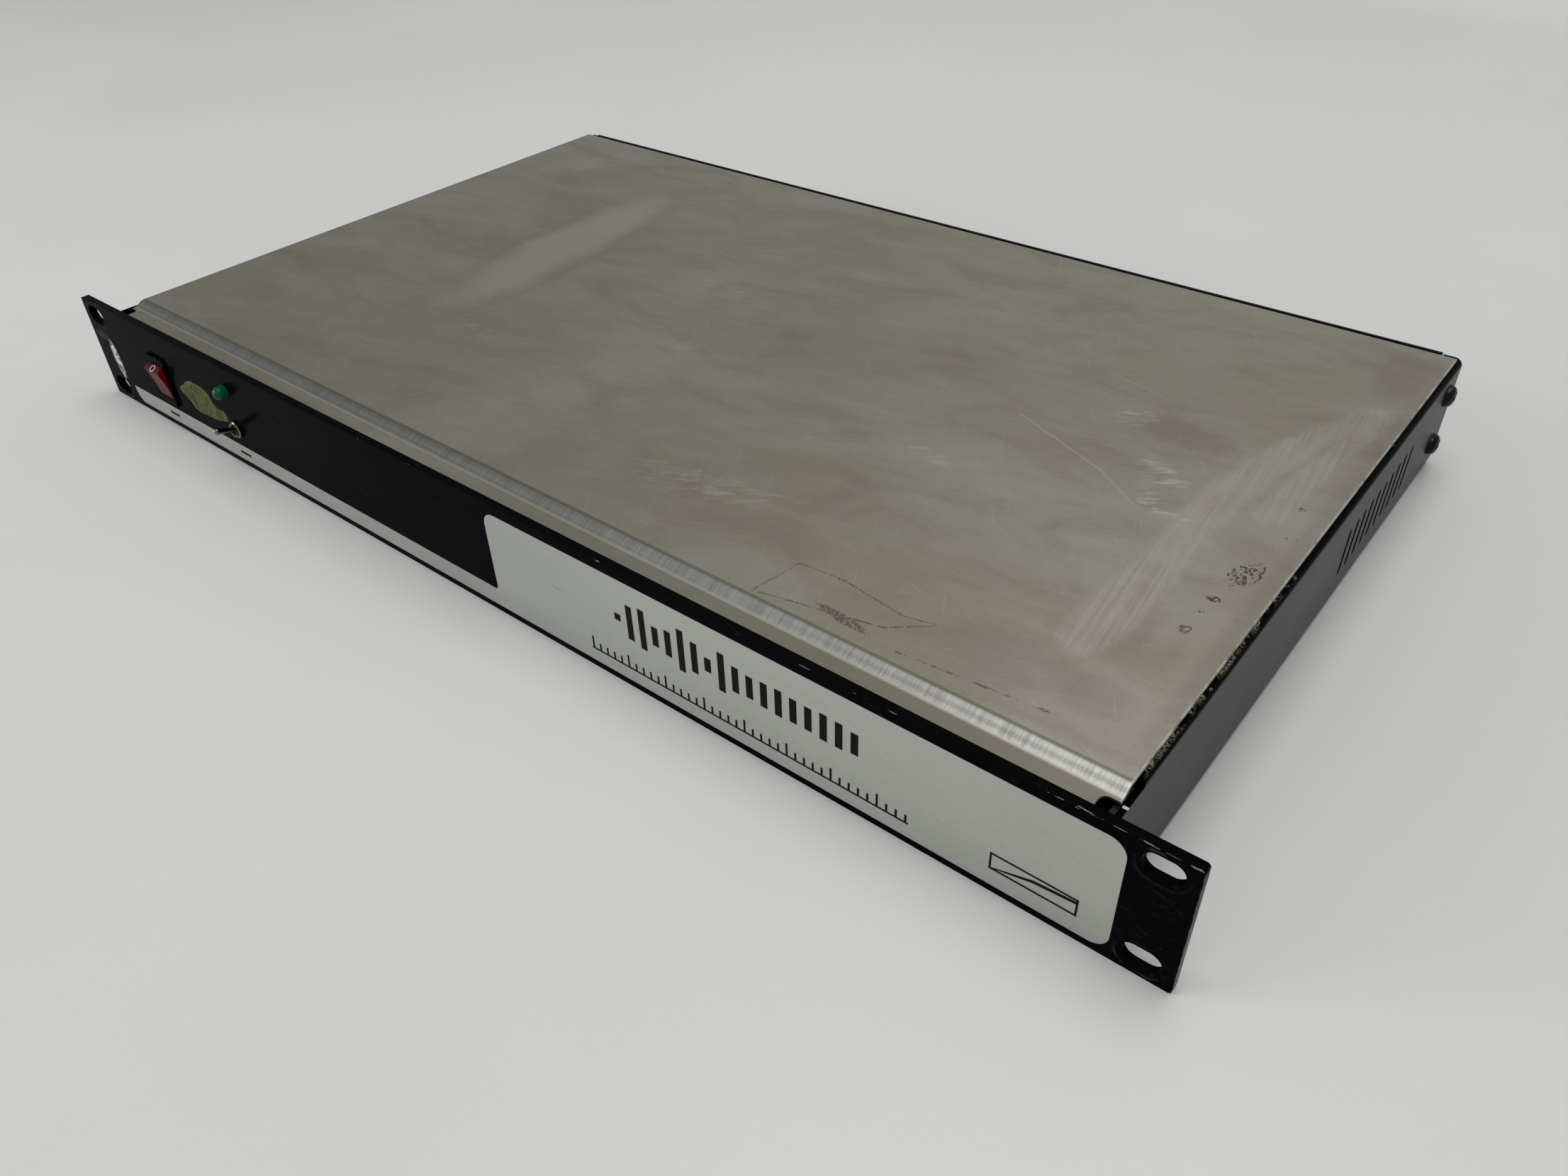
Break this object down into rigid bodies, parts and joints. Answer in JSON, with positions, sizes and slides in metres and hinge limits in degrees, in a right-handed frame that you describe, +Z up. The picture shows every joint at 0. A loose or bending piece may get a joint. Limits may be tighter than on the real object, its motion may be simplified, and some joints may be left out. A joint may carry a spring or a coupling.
{
  "type": "rack compressor",
  "caption": "One-unit rack compressor: black slotted panel with a bare-metal field, rocker, lamp and toggle, black vented sides, flat top cover, rear sockets.",
  "frame": {"origin": "middle of the four rack slots, on the front panel's rear face", "axes": "+X along the panel to its right end as seen from the front, +Y towards the rear, +Z up"},
  "size_m": [0.4826, 0.286, 0.0436],
  "materials": {
    "panel_paint": "satin",
    "brushed_field": "brushed",
    "print_black": "satin",
    "black_plastic": "satin",
    "red_plastic": "gloss",
    "lamp_glass": "clear",
    "green_lens": "gloss",
    "tinned": "dull",
    "toggle_red": "satin",
    "bright_chrome": "polished",
    "inner_black": "satin",
    "tray_metal": "dull",
    "side_paint": "satin",
    "cover_metal": "aged, brushed",
    "rear_paint": "satin",
    "black_screw": "gloss",
    "zinc": "bright",
    "brass_pin": "bright",
    "cast_shell": "satin",
    "core_black": "satin",
    "latch_metal": "bright",
    "board_green": "lacquered",
    "chip_black": "matte",
    "film_red": "gloss",
    "can_blue": "satin",
    "sink_black": "matte",
    "core_steel": "varnished",
    "coil_tape": "taped",
    "lead_brown": "satin",
    "lead_grey": "satin"
  },
  "bodies": {
    "case": {"front_panel": "panel_paint", "printed_field": "brushed_field", "printed_marks": "print_black", "rocker_housing": "black_plastic", "rocker_lamp": "lamp_glass", "rocker_tabs": "tinned", "lamp_lens": "green_lens", "lamp_leads": "tinned", "toggle_body": "toggle_red", "toggle_bushing": "bright_chrome", "toggle_nut": "bright_chrome", "toggle_lugs": "tinned", "sub_panel": "inner_black", "bottom_tray": "tray_metal", "side_panel_left": "side_paint", "side_panel_right": "side_paint", "top_cover": "cover_metal", "rear_panel": "rear_paint", "side_screws": "black_screw", "bottom_screws": "zinc", "panel_studs": "zinc", "panel_nuts": "zinc", "cover_clips": "zinc", "mains_inlet": "black_plastic", "inlet_pins": "brass_pin", "inlet_screws": "zinc", "fuse_holder": "black_plastic", "output_shells": "cast_shell", "output_pins": "brass_pin", "input_shells": "cast_shell", "input_cores": "core_black", "connector_screws": "zinc", "earth_stud": "brass_pin", "earth_nuts": "brass_pin", "main_board": "board_green", "board_pillars": "brass_pin", "board_screws": "zinc", "card_sockets": "core_black", "channel_card_left": "board_green", "channel_card_right": "board_green", "card_chips": "chip_black", "board_chips": "chip_black", "film_capacitors": "film_red", "small_capacitors": "can_blue", "reservoir_capacitors": "can_blue", "rectifier": "chip_black", "regulators": "chip_black", "heat_sink": "sink_black", "transformer_core": "core_steel", "transformer_coil": "coil_tape", "transformer_bracket": "zinc", "mains_harness": "lead_brown", "signal_harness": "lead_grey"},
    "rocker": {"rocker": "red_plastic"},
    "toggle": {"toggle_lever": "bright_chrome"},
    "fuse_drawer": {"fuse_cap": "black_plastic", "fuse_link": "lamp_glass"},
    "latch_a": {"latch_left": "latch_metal"},
    "latch_b": {"latch_right": "latch_metal"}
  },
  "joints": [
    {"name": "rocker_tilt", "type": "hinge", "parent": "case", "child": "rocker", "pos_m": [-0.19, -0.0012, 0], "axis": [1, 0, 0], "range_deg": [-25, 0]},
    {"name": "toggle_tilt", "type": "hinge", "parent": "case", "child": "toggle", "pos_m": [-0.139, -0.0026, -0.00483], "axis": [1, 0, 0], "range_deg": [0, 34]},
    {"name": "fuse_draw", "type": "slide", "parent": "case", "child": "fuse_drawer", "axis": [0, 1, 0], "range_m": [0, 0.034]},
    {"name": "latch_left_press", "type": "slide", "parent": "case", "child": "latch_a", "axis": [0, 0, 1], "range_m": [-0.0012, 0], "stiffness_N_per_m": 400},
    {"name": "latch_right_press", "type": "slide", "parent": "case", "child": "latch_b", "axis": [0, 0, 1], "range_m": [-0.0012, 0], "stiffness_N_per_m": 400}
  ]
}
